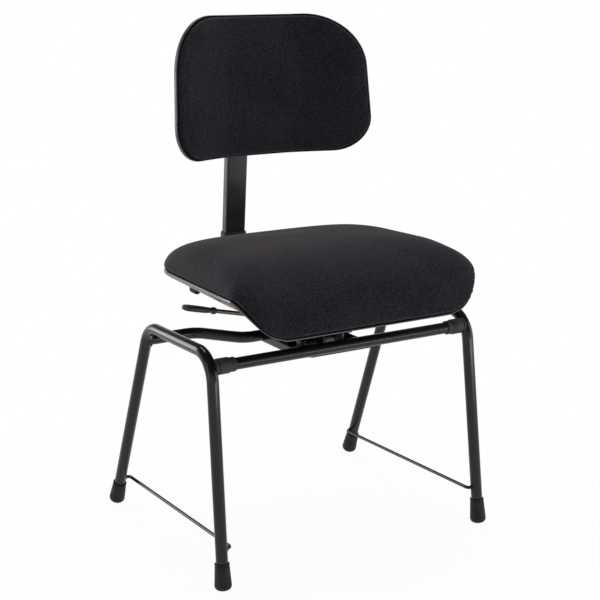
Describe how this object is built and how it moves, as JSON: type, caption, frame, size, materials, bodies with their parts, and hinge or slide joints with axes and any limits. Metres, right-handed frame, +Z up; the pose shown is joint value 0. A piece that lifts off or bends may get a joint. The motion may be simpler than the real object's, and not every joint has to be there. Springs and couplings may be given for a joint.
{
  "type": "tubular-frame chair with tilting padded backrest",
  "caption": "Padded chair on a bent tube frame with raked rear legs, a waterfall-front seat, and a wrapped backrest on a flat stem that reclines on a lever-locked mechanism.",
  "frame": {"origin": "on the floor, at the middle of the chair in plan", "axes": "+Z up, -Y the way the sitter faces, +X to the sitter's left"},
  "size_m": [0.5492, 0.504, 0.8939],
  "materials": {
    "black_paint": "glossy black powder coat on steel tube and sheet",
    "black_plastic": "finely textured black moulding",
    "shell_plastic": "satin black moulded shell with a smooth edge",
    "black_rubber": "dull black rubber",
    "zinc_steel": "bright zinc on steel",
    "lever_steel": "dark burnished steel rod",
    "bush_brass": "plain turned bush",
    "board_wood": "bare plywood, hidden inside the pads",
    "black_fabric": "black felted wool-like upholstery weave"
  },
  "bodies": {
    "frame": {"right_side_frame": "black_paint", "left_side_frame": "black_paint", "front_crossbar": "black_paint", "right_crossbar_sleeve": "black_plastic", "left_crossbar_sleeve": "black_plastic", "rear_cross_tube": "black_paint", "right_tie_rod": "black_paint", "left_tie_rod": "black_paint", "right_front_foot": "black_rubber", "left_front_foot": "black_rubber", "right_rear_foot": "black_rubber", "left_rear_foot": "black_rubber", "seat_carrier": "black_paint", "carrier_spacers": "zinc_steel", "carrier_bolts": "zinc_steel", "carrier_nuts": "zinc_steel", "mechanism_housing": "black_paint", "seat_mounting_plate": "black_paint", "pivot_bushes": "bush_brass", "pivot_shaft": "zinc_steel", "shaft_clips": "zinc_steel", "fixed_lock_plates": "zinc_steel", "lock_bolt": "zinc_steel", "lever_bracket": "black_paint", "lever_pin": "zinc_steel", "seat_shell": "shell_plastic", "seat_board": "board_wood", "seat_cushion": "black_fabric", "seat_screws": "zinc_steel", "seat_buffers": "black_rubber"},
    "arm": {"back_arm": "black_paint", "pivot_hub": "zinc_steel", "tilt_springs": "zinc_steel", "arm_lock_plates": "zinc_steel", "guide_sleeve": "black_plastic"},
    "stem": {"stem_bar": "zinc_steel", "stem_cover": "black_plastic", "stem_head": "black_plastic"},
    "backrest": {"pad_bracket": "black_paint", "pad_hinge_pin": "zinc_steel", "backrest_shell": "shell_plastic", "backrest_board": "board_wood", "backrest_cushion": "black_fabric", "backrest_screws": "zinc_steel"},
    "lever": {"lever_rod": "lever_steel", "lever_grip": "black_plastic"},
    "knob": {"clamp_screw": "zinc_steel", "clamp_knob": "black_plastic"}
  },
  "joints": [
    {"name": "back_tilt", "type": "hinge", "parent": "frame", "child": "arm", "pos_m": [0, 0.0257, 0.39], "axis": [-1, 0, 0], "range_deg": [0, 18]},
    {"name": "back_height", "type": "slide", "parent": "arm", "child": "stem", "axis": [0, -0.0898, 0.996], "range_m": [-0.02, 0.03]},
    {"name": "pad_tilt", "type": "hinge", "parent": "stem", "child": "backrest", "pos_m": [0, 0.16594, 0.76755], "axis": [1, 0, 0], "range_deg": [-6, 6]},
    {"name": "lever_lift", "type": "hinge", "parent": "frame", "child": "lever", "pos_m": [-0.064, -0.0498, 0.39], "axis": [0, 1, 0], "range_deg": [0, 5], "stiffness_Nm_per_rad": 2, "springref_deg": -5.73},
    {"name": "knob_turn", "type": "hinge", "parent": "arm", "child": "knob", "pos_m": [0, 0.22389, 0.46281], "axis": [0, 0.996, 0.0898], "range_deg": [-180, 180]}
  ]
}
